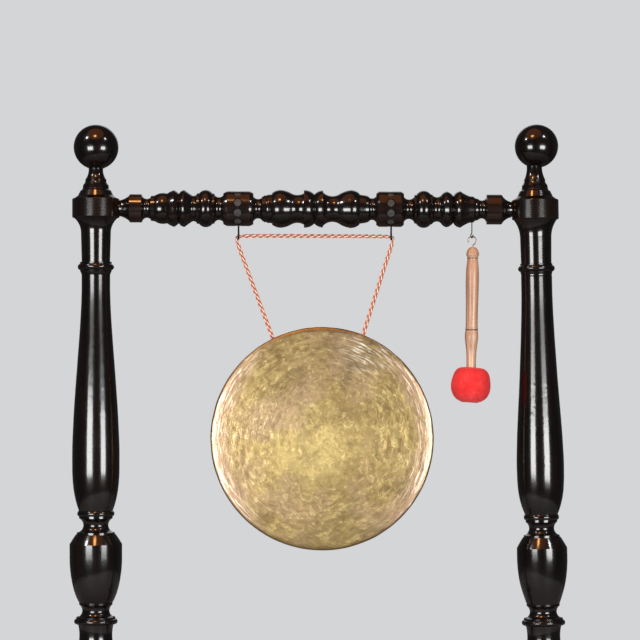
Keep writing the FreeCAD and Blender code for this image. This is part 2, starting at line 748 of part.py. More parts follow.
def tube(points, radius, bends):
    """A round tube along straight runs joined by tangent arcs, and the arcs' radii."""
    edges = []
    here = points[0]
    length = 0.0
    for before, corner, after, bend in zip(points, points[1:], points[2:], bends):
        arriving = (corner - before).normalize()
        leaving = (after - corner).normalize()
        turn = arriving.getAngle(leaving)
        back = bend * math.tan(turn / 2)
        start = corner - arriving * back
        end = corner + leaving * back
        inward = (leaving - arriving).normalize()
        centre = corner + inward * (bend / math.cos(turn / 2))
        middle = centre - inward * bend
        if start.distanceToPoint(here) > 1e-4:
            edges.append(Part.LineSegment(here, start).toShape())
            length += start.distanceToPoint(here)
        edges.append(Part.Arc(start, middle, end).toShape())
        length += bend * turn
        here = end
        print(f"  bend {bend:.1f} mm radius, {math.degrees(turn):.0f} degrees")
    edges.append(Part.LineSegment(here, points[-1]).toShape())
    length += points[-1].distanceToPoint(here)
    path = Part.Wire(edges)
    section = Part.Wire(Part.makeCircle(radius, points[0], points[1] - points[0]))
    solid = outward(path.makePipeShell([section], True, True))
    share = solid.Volume / (math.pi * radius ** 2 * length)
    print(f"  tube {length:.1f} mm long, volume share {share:.4f}")
    return solid


def knot(end, toward):
    """The plain outer shape of the knot in the cord's end, inside the rim."""
    axis = (end - toward).normalize()
    t = Turning(0, 1)
    t.step(CORD_RADIUS)
    t.swell(KNOT_LENGTH, CORD_RADIUS, [(0.2, KNOT_RADIUS - 1), (0.5, KNOT_RADIUS), (0.8, KNOT_RADIUS - 1)])
    solid = t.solid()
    solid.Placement = FreeCAD.Placement(end, FreeCAD.Rotation(Vector(0, 0, 1), axis))
    return solid


# ---- gong ----
class Meridian:
    """A point and a slope on the gong's half outline, from the middle of the face outwards."""

    def __init__(self, radius, depth, tilt):
        self.tilt = math.radians(tilt)
        self.point = Vector(radius, 0, depth)
        self.inward = Vector(-math.sin(self.tilt), 0, math.cos(self.tilt))

    def behind(self, thickness):
        """The point of the inner face behind this one."""
        return self.point + self.inward * thickness


def roll(start, radius, tilt):
    """The next place on the outline: a tangent arc to this radius, where the face has this tilt."""
    end = math.radians(tilt)
    bend = (radius - start.point.x) / (math.sin(end) - math.sin(start.tilt))
    drop = bend * (math.cos(start.tilt) - math.cos(end))
    return Meridian(radius, start.point.z + drop, tilt)


def arc_between(first, last, thickness=0.0):
    """The arc that joins two places of the outline, or of the inner face behind it."""
    tilt = (first.tilt + last.tilt) / 2
    bend = (last.point.x - first.point.x) / (math.sin(last.tilt) - math.sin(first.tilt))
    centre = first.point + first.inward * bend
    middle = centre + Vector(math.sin(tilt), 0, -math.cos(tilt)) * (bend - thickness)
    return Part.Arc(first.behind(thickness), middle, last.behind(thickness))


def gong():
    """A hammered disc: a faint dome that rolls back towards a deep turned rim with two holes."""
    apex = Meridian(0, 0, 0)
    shoulder = roll(apex, GONG_SHOULDER, GONG_SHOULDER_TILT)
    edge = roll(shoulder, GONG_EDGE, GONG_EDGE_TILT)
    rim = roll(edge, GONG_RADIUS, 90)
    rim_end = Vector(GONG_RADIUS - GONG_LEAN, 0, GONG_DEPTH)
    lip_end = rim_end - Vector(GONG_RIM, 0, 0)
    inner_rim = rim.point + Vector(-GONG_RIM, 0, GONG_RIM - GONG_FACE)
    inner_edge = edge.behind(GONG_FACE)
    corner = Vector(inner_rim.x, 0, inner_edge.z)
    inner_bend = Part.Arc(inner_rim, (inner_rim + inner_edge + corner) * (1 / 3), inner_edge)
    edges = [
        arc_between(apex, shoulder),
        arc_between(shoulder, edge),
        arc_between(edge, rim),
        Part.LineSegment(rim.point, rim_end),
        Part.LineSegment(rim_end, lip_end),
        Part.LineSegment(lip_end, inner_rim),
        inner_bend,
        arc_between(shoulder, edge, GONG_FACE),
        arc_between(apex, shoulder, GONG_FACE),
        Part.LineSegment(apex.point, apex.behind(GONG_FACE)),
    ]
    outline = Part.Wire(Part.__sortEdges__([edge.toShape() for edge in edges]))
    pan = outward(Part.Face(outline).revolve(Vector(0, 0, 0), Vector(0, 0, 1), 360))
    pan.rotate(Vector(0, 0, 0), Vector(1, 0, 0), -90)
    pan.translate(Vector(GONG_X, GONG_FRONT_Y, GONG_Z))
    holes = []
    for angle in (LEFT_HOLE_ANGLE, RIGHT_HOLE_ANGLE):
        inside = hole_point(angle, GONG_RADIUS - 20)
        outside = hole_point(angle, GONG_RADIUS + 20)
        holes.append(rod(HOLE_RADIUS, inside, outside))
    return outward(pan.cut(holes))


# ---- mallet ----
def eye_place():
    """The top of the mallet's own hook, where it bears on the rail's small hook."""
    return Vector(MALLET_X, 0, MALLET_HOOK_SADDLE + MALLET_HOOK_WIRE + EYE_WIRE + GAP)


def hang(shape):
    """Moves a piece of the mallet made about the Z axis to its place, and leans it about the head."""
    hung = shape.copy()
    hung.translate(Vector(HEAD_X, 0, 0))
    hung.rotate(Vector(HEAD_X, 0, (HEAD_TOP + HEAD_BOTTOM) / 2), Vector(0, 1, 0), MALLET_LEAN)
    return hung


def lean_eye(shape):
    """Moves the mallet's own hook, or its hole, from the origin to its place."""
    leant = shape.copy()
    leant.rotate(Vector(0, 0, 0), Vector(0, 1, 0), -EYE_LEAN)
    leant.translate(eye_place())
    return leant


def mallet_handle():
    """The turned handle, with a long tenon through the head's core."""
    t = Turning(HANDLE_TOP, -1)
    t.step(6.5)
    t.arc(13, 14.2, 12)
    t.arc(6, 14, 14.7)
    t.arc(5, 12.1, 12.8)
    t.run(4)
    t.swell(154, 13.6, [(0.07, 13.4), (0.13, 14.3), (0.28, 15.0), (0.59, 14.1), (0.85, 13.5)])
    t.step(14)
    t.arc(4.5, 14, 14.4)
    t.step(13.4)
    t.run(1.6)
    t.step(14)
    t.arc(4.5, 14.6, 14.6)
    t.swell(t.here.z - HEAD_TOP + 6, 11, [(0.09, 15.2), (0.3, 13.7), (0.5, 11.7), (0.7, 10.8)])
    t.step(9)
    t.run_to(HEAD_BOTTOM + 22)
    end_hole = Part.makeCylinder(HEAD_SCREW_RADIUS + FIT, 32, Vector(0, 0, HEAD_BOTTOM + 21))
    screw_end = Vector(0, 0, HANDLE_TOP - eye_place().z - 25)
    screw_hole = rod(EYE_WIRE + FIT, screw_end, screw_end + Vector(0, 0, 30))
    return outward(hang(t.solid().cut(end_hole)).cut(lean_eye(screw_hole)))


def mallet_screw_hook():
    """The mallet's own hook: an eye open at the lower left, in the X-Z plane, on a shank in the handle."""
    shank_top = eye_place().z - HANDLE_TOP + 24
    hook = question_hook(0, 0, EYE_BEND, EYE_WIRE, 262, shank_top)
    hook.rotate(Vector(0, 0, 0), Vector(0, 0, 1), 90)
    hook.rotate(Vector(0, 0, 0), Vector(0, 1, 0), 180)
    return lean_eye(hook)


def core_shape(margin):
    """The head's core, or the space for it when it is given a margin."""
    t = Turning(HEAD_BOTTOM + 14 - margin, 1)
    t.step(20 + margin)
    t.arc(24 + margin, CORE_RADIUS + margin, 33.5 + margin)
    t.arc(30 + margin, 23 + margin, 34.6 + margin, at=0.6)
    return t.solid()


def mallet_core():
    """The firm core under the felt, bored for the handle."""
    core = core_shape(0)
    bore = Part.makeCylinder(9 + FIT, 80, Vector(0, 0, HEAD_BOTTOM + 22))
    counterbore = Part.makeCylinder(8, 12, Vector(0, 0, HEAD_BOTTOM + 11))
    return outward(hang(core.cut([bore, counterbore])))


def felt_cushion():
    """The felt head's outer shape: a flat-topped cushion, widest below its middle."""
    t = Turning(HEAD_BOTTOM, 1)
    height = HEAD_TOP - HEAD_BOTTOM
    sides = [(0.012, 0.40), (0.05, 0.66), (0.12, 0.82), (0.23, 0.95), (0.40, 1.0),
             (0.62, 0.965), (0.80, 0.87), (0.92, 0.71), (0.985, 0.50)]
    points = [Vector(0, 0, HEAD_BOTTOM)]
    for share, width in sides:
        points.append(Vector(HEAD_RADIUS * width, 0, HEAD_BOTTOM + height * share))
    points.append(Vector(HEAD_RADIUS * 0.27, 0, HEAD_TOP))
    curve = Part.BSplineCurve()
    curve.interpolate(Points=points, InitialTangent=Vector(1, 0, 0), FinalTangent=Vector(-1, 0, -0.1))
    t.edges.append(curve.toShape())
    t.here = points[-1]
    return t.solid()


def mallet_felt():
    """The felt cover, hollow over the core and open at the neck."""
    neck = Part.makeCylinder(11.8, 60, Vector(0, 0, HEAD_TOP - 30))
    screw_room = Part.makeCylinder(11, 12, Vector(0, 0, HEAD_BOTTOM + 7))
    return outward(hang(felt_cushion().cut([core_shape(GAP), neck, screw_room])))


def mallet_head_washer():
    low = Vector(0, 0, HEAD_BOTTOM + 20)
    disc = Part.makeCylinder(7.5, 1.5, low)
    return hang(disc.cut(Part.makeCylinder(HEAD_SCREW_RADIUS + FIT, 1.5, low)))


def mallet_head_screw():
    """The screw that holds the core on the handle's end."""
    head_low = Vector(0, 0, HEAD_BOTTOM + 16.5)
    head = Part.makeCone(2.6, 4.5, 3.5, head_low)
    shank = Part.makeCylinder(HEAD_SCREW_RADIUS, 32, head_low + Vector(0, 0, 3.5))
    return outward(hang(head.fuse(shank)))


# ---- all pieces ----
os.makedirs("parts", exist_ok=True)
for side, size in (("left", LEFT_POST), ("right", RIGHT_POST)):
    save(side + "_post", bored_post(side, size))
    save(side + "_finial", finial(side, size))
    save(side + "_rail_peg", peg(side, RAIL_HEIGHT, PEG_RADIUS, 0))
    save(side + "_stretcher_peg", peg(side, STRETCHER_HEIGHT, PEG_RADIUS, 0))
    save(side + "_foot", foot(side))
    save(side + "_foot_bolt", foot_bolt(side))
    save(side + "_foot_washer", foot_washer(side))
    for where, end in ENDS.items():
        save(f"{side}_{where}_bun_foot", bun_foot(side, end))
save("top_rail", top_rail())
save("lower_stretcher", lower_stretcher())
save("left_rosettes", *rosettes(LEFT_BLOCK_X, LEFT_HOOK_X))
save("right_rosettes", *rosettes(RIGHT_BLOCK_X, RIGHT_HOOK_X))
save("left_gong_hook", gong_hook(LEFT_HOOK_X))
save("right_gong_hook", gong_hook(RIGHT_HOOK_X))
save("mallet_hook", mallet_hook())
route = cord_route()
for point in route:
    print(f"  route {point.x - CENTRE_X:.1f} {point.z:.1f}")
save("gong_cord", tube(route, CORD_RADIUS, [CORD_WRAP] * 4))
save("left_cord_knot", knot(route[0], route[1]))
save("right_cord_knot", knot(route[-1], route[-2]))
save("gong", gong())
save("mallet_handle", mallet_handle())
save("mallet_screw_hook", mallet_screw_hook())
save("mallet_core", mallet_core())
save("mallet_felt", mallet_felt())
save("mallet_head_washer", mallet_head_washer())
save("mallet_head_screw", mallet_head_screw())
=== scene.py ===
import math
import random

import bmesh
import bpy
import numpy as np
from mathutils import Matrix, Vector


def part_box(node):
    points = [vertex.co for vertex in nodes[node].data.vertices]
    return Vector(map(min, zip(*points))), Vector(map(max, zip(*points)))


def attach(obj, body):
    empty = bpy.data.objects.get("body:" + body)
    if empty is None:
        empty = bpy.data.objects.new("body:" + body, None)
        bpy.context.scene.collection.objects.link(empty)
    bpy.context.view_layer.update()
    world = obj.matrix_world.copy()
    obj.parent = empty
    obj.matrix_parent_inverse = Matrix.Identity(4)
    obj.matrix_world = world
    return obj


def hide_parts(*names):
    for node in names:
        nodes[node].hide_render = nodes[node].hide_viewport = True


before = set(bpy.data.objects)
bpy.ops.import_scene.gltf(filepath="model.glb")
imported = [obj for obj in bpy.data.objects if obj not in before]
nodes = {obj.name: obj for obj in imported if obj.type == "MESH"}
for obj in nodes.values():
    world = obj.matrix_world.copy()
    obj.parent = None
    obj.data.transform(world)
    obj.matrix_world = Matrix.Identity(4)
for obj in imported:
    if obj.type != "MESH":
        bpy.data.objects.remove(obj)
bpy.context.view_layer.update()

# A hammered gong on a turned, ebonised stand, with its mallet. Metres, in the row frame.

MM = 0.001
GONG_LOW, GONG_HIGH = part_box("gong")
GONG_CENTRE = Vector(((GONG_LOW.x + GONG_HIGH.x) / 2, 0.0, (GONG_LOW.z + GONG_HIGH.z) / 2))
GONG_RADIUS = (GONG_HIGH.x - GONG_LOW.x) / 2
BURNT_GROOVES = ((1.1384, 1.3 * MM), (1.3000, 0.9 * MM))     # height in the handle, half width


# ---- node materials ----
def opaque(colour):
    """A colour or a grey, as a node wants it."""
    return ((colour,) * 3 if isinstance(colour, (int, float)) else tuple(colour)) + (1.0,)


class Paint:
    """A material made of nodes, with short calls for the few kinds used here."""

    def __init__(self, name):
        self.material = bpy.data.materials.new(name)
        self.material.use_nodes = True
        self.tree = self.material.node_tree
        self.shader = self.tree.nodes["Principled BSDF"]
        self.place = self.node("ShaderNodeTexCoord").outputs["Object"]

    def node(self, kind, **settings):
        made = self.tree.nodes.new(kind)
        for key, value in settings.items():
            setattr(made, key, value)
        return made

    def put(self, socket, value):
        """Gives a socket a value, or links it to another node's socket."""
        if isinstance(value, bpy.types.NodeSocket):
            self.tree.links.new(value, socket)
        else:
            socket.default_value = value

    def fill(self, made, values):
        """Puts values in a node's sockets by name."""
        for key, value in values.items():
            self.put(made.inputs[key], value)

    def set(self, **values):
        """Sets the shader's own sockets; an underscore stands for a space."""
        self.fill(self.shader, {key.replace("_", " "): value for key, value in values.items()})

    def stretched(self, scale):
        """The object's coordinates, stretched."""
        made = self.node("ShaderNodeMapping")
        self.fill(made, {"Vector": self.place, "Scale": scale})
        return made.outputs["Vector"]

    def noise(self, scale, detail=4.0, rough=0.55, place=None, distortion=0.0):
        made = self.node("ShaderNodeTexNoise")
        values = {"Scale": scale, "Detail": detail, "Roughness": rough, "Distortion": distortion}
        self.fill(made, {"Vector": place or self.place, **values})
        return made.outputs["Fac"]

    def cells(self, scale):
        made = self.node("ShaderNodeTexVoronoi")
        self.fill(made, {"Vector": self.place, "Scale": scale})
        return made.outputs["Distance"]

    def ramp(self, source, *stops):
        """A colour ramp through (position, colour or grey) stops."""
        made = self.node("ShaderNodeValToRGB")
        self.put(made.inputs["Fac"], source)
        band = made.color_ramp.elements
        while len(band) < len(stops):
            band.new(0.5)
        for stop, (position, colour) in zip(band, stops):
            stop.position = position
            stop.color = opaque(colour)
        return made.outputs["Color"]

    def mix(self, share, first, second, kind="MIX"):
        """Two colours mixed; the Mix node's colour sockets are numbers 6 and 7 in, and 2 out."""
        made = self.node("ShaderNodeMix", data_type="RGBA", blend_type=kind)
        self.put(made.inputs[0], share)
        for socket, colour in ((made.inputs[6], first), (made.inputs[7], second)):
            self.put(socket, colour if isinstance(colour, bpy.types.NodeSocket) else opaque(colour))
        return made.outputs[2]

    def math(self, operation, first, second):
        made = self.node("ShaderNodeMath", operation=operation)
        self.put(made.inputs[0], first)
        self.put(made.inputs[1], second)
        return made.outputs[0]

    def vector(self, operation, first, second=(0, 0, 0), scale=1.0):
        made = self.node("ShaderNodeVectorMath", operation=operation)
        self.put(made.inputs[0], first)
        self.put(made.inputs[1], second)
        if operation == "SCALE":
            made.inputs["Scale"].default_value = scale
        return made.outputs["Value" if operation == "LENGTH" else "Vector"]

    def attribute(self, name):
        """The red and green parts of a mesh's own colour attribute."""
        made = self.node("ShaderNodeAttribute", attribute_name=name)
        parts = self.node("ShaderNodeSeparateColor")
        self.put(parts.inputs[0], made.outputs["Color"])
        return parts.outputs[0], parts.outputs[1]

    def from_gong(self, across=0.0, up=0.0, kept=(1, 0, 1)):
        """The way from a place on the gong's face, along the axes that are kept."""
        place = GONG_CENTRE + Vector((across, 0.0, up))
        return self.vector("MULTIPLY", self.vector("SUBTRACT", self.place, place), kept)

    def gong_radius(self):
        return self.vector("LENGTH", self.from_gong())

    def rings(self, turns, outwards):
        """Coordinates for marks that run round the gong: how many, and how close together."""
        wheel = self.vector("SCALE", self.vector("NORMALIZE", self.from_gong()), scale=turns)
        rise = self.node("ShaderNodeCombineXYZ")
        self.put(rise.inputs["Y"], self.math("MULTIPLY", self.gong_radius(), outwards))
        return self.vector("ADD", wheel, rise.outputs[0])

    def spot(self, across, up, size):
        """1 at a place on the gong's face, measured from its middle, fading to 0 this far away."""
        away = self.vector("LENGTH", self.from_gong(across, up))
        return self.ramp(away, (0.2 * size, 1.0), (size, 0.0))

    def sideways(self, start, end):
        """0 near the gong's upright middle line, rising to 1 towards its left and right sides."""
        away = self.vector("LENGTH", self.from_gong(kept=(1, 0, 0)))
        return self.ramp(away, (start, 0.0), (end, 1.0))

    def sum(self, *weighted):
        """The sum of (socket, weight) pairs."""
        total, *others = [self.math("MULTIPLY", source, weight) for source, weight in weighted]
        for part in others:
            total = self.math("ADD", total, part)
        return total

    def bump(self, height, distance, strength):
        """Roughens the shader's normal."""
        made = self.node("ShaderNodeBump")
        self.fill(made, {"Height": height, "Distance": distance, "Strength": strength})
        self.set(Normal=made.outputs["Normal"])

    def geometry(self, output):
        return self.node("ShaderNodeNewGeometry").outputs[output]

    def height_of(self, source):
        """The Z part of a vector."""
        parts = self.node("ShaderNodeSeparateXYZ")
        self.put(parts.inputs[0], source)
        return parts.outputs["Z"]


def ebonised_wood(name, along):
    """Black-stained, french-polished hardwood; along is the axis of the grain."""
    paint = Paint(name)
    grain_scale = [90.0, 90.0, 90.0]
    grain_scale["XYZ".index(along)] = 4.0
    grain = paint.noise(1.0, detail=6, place=paint.stretched(grain_scale))
    tone = paint.ramp(grain, (0.35, (0.0018, 0.0015, 0.0015)), (0.78, (0.0075, 0.0034, 0.0022)))
    worn = paint.ramp(paint.geometry("Pointiness"), (0.53, 0.0), (0.66, 1.0))
    colour = paint.mix(worn, tone, (0.022, 0.009, 0.005))
    smear = paint.noise(26.0, detail=5, rough=0.65)
    cloud = paint.noise(7.0, detail=3)
    rough = paint.ramp(paint.sum((smear, 0.6), (cloud, 0.4)), (0.35, 0.18), (0.70, 0.36))
    # painted shade: the coat is thinnest on faces that look down, where the normal's height is near -1, so
    # the undersides reflect less and look darker
    facing = paint.height_of(paint.geometry("Normal"))
    underside_shade_coat = paint.ramp(paint.math("ADD", facing, 1.0), (0.25, 0.08), (0.80, 0.95))
    paint.set(Base_Color=colour, Roughness=rough, Specular_IOR_Level=0.12, Coat_Weight=underside_shade_coat, Coat_IOR=1.5,
              Coat_Roughness=0.13)
    ripple = paint.noise(30.0, detail=2)
    paint.bump(paint.sum((grain, 0.35), (ripple, 0.65)), 0.0004, 0.25)
    return paint.material


def hammered_bronze():
    """Old bronze: olive patches, and gold ones that are partly a painted pool of light, pink where it is
    rubbed, marks that run round the face, and painted highlights and shade.
    """
    paint = Paint("hammered_bronze")
    radius = paint.gong_radius()
    # marks run round the face, except near its middle, where they have no direction
    outside = paint.ramp(radius, (0.06, 0.0), (0.13, 1.0))

    def ringed(ring, scale, **look):
        return paint.mix(outside, paint.noise(scale, **look), paint.noise(1.0, place=ring, **look))

    patch = ringed(paint.rings(9.0, 70.0), 72.0, detail=5, rough=0.62, distortion=0.4)
    curl = ringed(paint.rings(9.0, 85.0), 78.0, detail=2, distortion=1.3)
    brushed = ringed(paint.rings(16.0, 420.0), 400.0, detail=3, rough=0.7)
    cloud = paint.noise(8.0, detail=4, rough=0.6)
    speck = paint.noise(95.0, detail=4, rough=0.7)

    olive = paint.ramp(patch, (0.30, (0.300, 0.205, 0.085)), (0.52, (0.430, 0.310, 0.125)),
                       (0.72, (0.590, 0.460, 0.185)))
    # partly patina tone, partly a painted pool of light: the face is more golden in patches near its middle
    gold_light_pool = paint.spot(-25 * MM, -35 * MM, 120 * MM)
    gold_light_pool = paint.math("MULTIPLY", gold_light_pool, paint.ramp(cloud, (0.35, 0.9), (0.62, 0.2)))
    colour = paint.mix(gold_light_pool, olive, (0.690, 0.530, 0.215))
    rubbed = paint.ramp(cloud, (0.46, 0.0), (0.64, 0.85))
    colour = paint.mix(rubbed, colour, (0.500, 0.350, 0.200))
    # painted highlights and painted shade on the hammer marks: pale strokes on one band of the curl noise,
    # broken up by specks, and dark strokes on another
    broken = paint.ramp(speck, (0.40, 0.0), (0.60, 0.80))
    painted_stroke_glint = paint.ramp(curl, (0.56, 0.0), (0.62, 0.85), (0.69, 0.2))
    colour = paint.mix(paint.math("MULTIPLY", painted_stroke_glint, broken), colour, (0.900, 0.730, 0.340))
    painted_stroke_shade = paint.ramp(curl, (0.33, 0.2), (0.39, 0.38), (0.45, 0.0))
    colour = paint.mix(painted_stroke_shade, colour, (0.230, 0.145, 0.065))
    # painted shade: the face's colour darkens away from its middle
    shade_falloff = paint.spot(-20 * MM, -40 * MM, 330 * MM)
    colour = paint.mix(1.0, colour, paint.ramp(shade_falloff, (0.30, 0.76), (0.80, 1.0)), "MULTIPLY")

    # painted highlights: the flanks near the rim are tinted pink and streaked pale where the side lamps
    # reflect, and one painted glint at the upper right, both broken into fine arcs
    highlight_streak = paint.ramp(paint.noise(1.0, detail=3, place=paint.rings(6.0, 300.0)), (0.53, 0.0), (0.62, 1.0))
    near_rim = paint.ramp(radius, (0.205, 0.0), (0.238, 1.0))
    highlight_flanks = paint.math("MULTIPLY", near_rim, paint.sideways(0.11, 0.20))
    colour = paint.mix(paint.math("MULTIPLY", highlight_flanks, 0.75), colour, (0.430, 0.285, 0.190))
    colour = paint.mix(paint.math("MULTIPLY", highlight_flanks, highlight_streak), colour, (0.900, 0.700, 0.540))
    painted_glint = paint.math("MULTIPLY", paint.spot(98 * MM, 202 * MM, 72 * MM), highlight_streak)
    colour = paint.mix(paint.math("MULTIPLY", painted_glint, 0.8), colour, (1.0, 0.95, 0.80))
    edge = paint.ramp(radius, (0.2475, 0.0), (0.2510, 1.0))
    colour = paint.mix(edge, colour, (0.330, 0.215, 0.090))

    smear = paint.noise(14.0, detail=6, rough=0.7, distortion=0.6)
    rough = paint.ramp(paint.sum((brushed, 0.4), (smear, 0.6)), (0.34, 0.31), (0.66, 0.50))
    paint.set(Base_Color=colour, Metallic=1.0, Roughness=rough)
    paint.bump(paint.sum((brushed, 0.3), (curl, 0.5), (speck, 0.2)), 0.0013, 0.6)
    return paint.material


def twisted_yarn():
    """Cream and salmon yarns, with painted shade in the strands' hollows; the mesh says which yarn is which,
    and how deep a point lies.
    """
    paint = Paint("twisted_yarn")
    yarn, height = paint.attribute("yarn")
    salmon = (0.600, 0.200, 0.140)
    cream = (0.950, 0.670, 0.530)
    colour = paint.mix(paint.ramp(yarn, (0.42, 0.0), (0.62, 1.0)), salmon, cream)
    # painted shade: darker towards the hollows between the strands, from the height the mesh gives
    painted_hollow_shade = paint.ramp(height, (0.0, (0.16, 0.06, 0.04)), (0.55, (0.50, 0.32, 0.26)), (0.88, 1.0))
    colour = paint.mix(1.0, colour, painted_hollow_shade, "MULTIPLY")
    fibre = paint.noise(900.0, detail=3, rough=0.7)
    colour = paint.mix(1.0, colour, paint.ramp(fibre, (0.3, 0.78), (0.7, 1.1)), "MULTIPLY")
    paint.set(Base_Color=colour, Roughness=0.75, Sheen_Weight=0.35, Sheen_Roughness=0.5)
    paint.bump(fibre, 0.0002, 0.5)
    return paint.material


def red_felt():
    """Thick wool felt: matted fibres, a little fluffy, and painted shade that makes it darker in its hollows.
    """
    paint = Paint("red_felt")
    mat = paint.noise(260.0, detail=6, rough=0.75, distortion=1.2)
    tuft = paint.noise(45.0, detail=4, rough=0.6)
    # painted shade: the colour follows the same noise as the bump, darker where the bump sinks
    colour = paint.ramp(paint.sum((mat, 0.55), (tuft, 0.45)), (0.32, (0.480, 0.012, 0.013)),
                        (0.52, (0.700, 0.032, 0.032)), (0.70, (0.830, 0.085, 0.080)))
    paint.set(Base_Color=colour, Roughness=0.95, Sheen_Weight=0.35, Sheen_Roughness=0.45,
              Sheen_Tint=(1.0, 0.42, 0.42, 1.0), Specular_IOR_Level=0.2)
    paint.bump(paint.sum((mat, 0.6), (tuft, 0.4)), 0.0012, 0.6)
    return paint.material


def handle_wood():
    """Pale wood with long grain, worn and waxed, and burnt lines in its grooves."""
    paint = Paint("handle_wood")
    grain = paint.noise(1.0, detail=7, rough=0.7, place=paint.stretched((260.0, 260.0, 9.0)))
    figure = paint.noise(1.0, detail=3, place=paint.stretched((60.0, 60.0, 5.0)), distortion=0.8)
    colour = paint.ramp(paint.sum((grain, 0.6), (figure, 0.4)), (0.34, (0.205, 0.090, 0.050)),
                        (0.50, (0.430, 0.235, 0.140)), (0.66, (0.600, 0.385, 0.250)))
    burnt = paint.ramp(height_in_handle(paint), *burnt_stops())
    colour = paint.mix(burnt, colour, (0.045, 0.020, 0.012))
    paint.set(Base_Color=colour, Roughness=0.42, Coat_Weight=0.25, Coat_Roughness=0.25)
    paint.bump(grain, 0.0003, 0.4)
    return paint.material


def height_in_handle(paint):
    """How far up the handle a point is, from 0 at the head to 1 at the tip."""
    low, high = (corner.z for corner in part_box("mallet_handle"))
    return paint.math("DIVIDE", paint.math("SUBTRACT", paint.height_of(paint.place), low), high - low)


def burnt_stops():
    """Grey ramp stops that are white only inside the handle's two burnt grooves."""
    low, high = (corner.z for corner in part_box("mallet_handle"))
    stops = []
    for height, half in BURNT_GROOVES:
        share = (height - low) / (high - low)
        edge = half / (high - low)
        for reach, burn in ((-1.6, 0.0), (-0.6, 0.85), (0.6, 0.85), (1.6, 0.0)):
            stops.append((share + reach * edge, burn))
    return stops


def metal(name, colour, roughness, stain):
    """Wire or a fastener: drawn or turned metal with stains."""
    paint = Paint(name)
    spot = paint.noise(120.0, detail=5, rough=0.65)
    colour = paint.mix(paint.ramp(spot, (0.45, 0.0), (0.62, 1.0)), colour, stain)
    rough = paint.ramp(paint.noise(300.0, detail=3), (0.3, roughness * 0.8), (0.7, roughness * 1.3))
    paint.set(Base_Color=colour, Metallic=0.9, Roughness=rough)
    paint.bump(spot, 0.0002, 0.3)
    return paint.material


def pressed_cork():
    """The mallet head's core: pale grains with dark gaps."""
    paint = Paint("pressed_cork")
    grain = paint.cells(320.0)
    colour = paint.ramp(grain, (0.1, (0.24, 0.12, 0.06)), (0.6, (0.50, 0.32, 0.18)))
    paint.set(Base_Color=colour, Roughness=0.9)
    paint.bump(grain, 0.0005, 0.6)
    return paint.material


def carved_wood():
    """Unpolished black carving with grey dust in patches."""
    paint = Paint("carved_wood")
    dust = paint.noise(420.0, detail=5, rough=0.7)
    grain = paint.noise(1.0, detail=5, place=paint.stretched((60.0, 500.0, 500.0)))
    colour = paint.ramp(paint.sum((dust, 0.6), (grain, 0.4)), (0.36, (0.012, 0.011, 0.011)),
                        (0.62, (0.060, 0.056, 0.054)))
    paint.set(Base_Color=colour, Roughness=0.62, Specular_IOR_Level=0.35)
    paint.bump(grain, 0.0003, 0.5)
    return paint.material


def plain_floor():
    paint = Paint("floor_grey")
    speck = paint.noise(30.0, detail=4)
    grey = paint.ramp(speck, (0.3, (0.37, 0.41, 0.45)), (0.7, (0.41, 0.45, 0.49)))
    paint.set(Base_Color=grey, Roughness=0.85)
    return paint.material


def give(node, material):
    """Puts one material on every slot of a CAD node."""
    for slot in nodes[node].material_slots:
        slot.material = material


# ---- camera, light and floor ----
EYE = Vector((-0.0016, -6.20, 1.014))       # of the camera
FRAME_WIDTH = 1.448         # of the picture, at the plane of the rail
FRAME_MIDDLE = Vector((-0.0016, 0.0, 1.1593))
ROLL = math.radians(0.2)
SENSOR = 36.0


def make_camera():
    data = bpy.data.cameras.new("camera")
    data.sensor_width = SENSOR
    data.lens = SENSOR * abs(EYE.y) / FRAME_WIDTH
    camera = bpy.data.objects.new("camera", data)
    bpy.context.scene.collection.objects.link(camera)
    camera.location = EYE
    aim = (FRAME_MIDDLE - EYE).to_track_quat("-Z", "Y").to_matrix()
    camera.rotation_euler = (aim @ Matrix.Rotation(ROLL, 3, "Z")).to_euler()
    bpy.context.scene.camera = camera


def make_light(name, place, target, size, watts, colour=(1, 1, 1), height=None):
    data = bpy.data.lights.new(name, "AREA")
    data.shape = "RECTANGLE" if height else "DISK"
    data.size = size
    if height:
        data.size_y = height
    data.energy = watts
    data.color = colour
    light = bpy.data.objects.new(name, data)
    bpy.context.scene.collection.objects.link(light)
    light.location = place
    light.rotation_euler = (Vector(target) - Vector(place)).to_track_quat("-Z", "Y").to_euler()


def make_world():
    """A dim even light all round, behind a plain pale grey that only the camera sees."""
    world = bpy.data.worlds.new("world")
    bpy.context.scene.world = world
    world.use_nodes = True
    tree = world.node_tree
    background = tree.nodes["Background"]
    background.inputs["Color"].default_value = (0.80, 0.81, 0.83, 1)
    background.inputs["Strength"].default_value = 0.055
    seen = tree.nodes.new("ShaderNodeBackground")
    seen.inputs["Color"].default_value = (0.66, 0.665, 0.675, 1)
    path = tree.nodes.new("ShaderNodeLightPath")
    choice = tree.nodes.new("ShaderNodeMixShader")
    tree.links.new(path.outputs["Is Camera Ray"], choice.inputs[0])
    tree.links.new(background.outputs[0], choice.inputs[1])
    tree.links.new(seen.outputs[0], choice.inputs[2])
    tree.links.new(choice.outputs[0], tree.nodes["World Output"].inputs[0])


def make_floor():
    bpy.ops.mesh.primitive_circle_add(vertices=128, radius=2.4, fill_type="NGON", location=(0, 0.5, 0))
    floor = bpy.context.object
    floor.name = "floor"
    floor.data.materials.append(plain_floor())


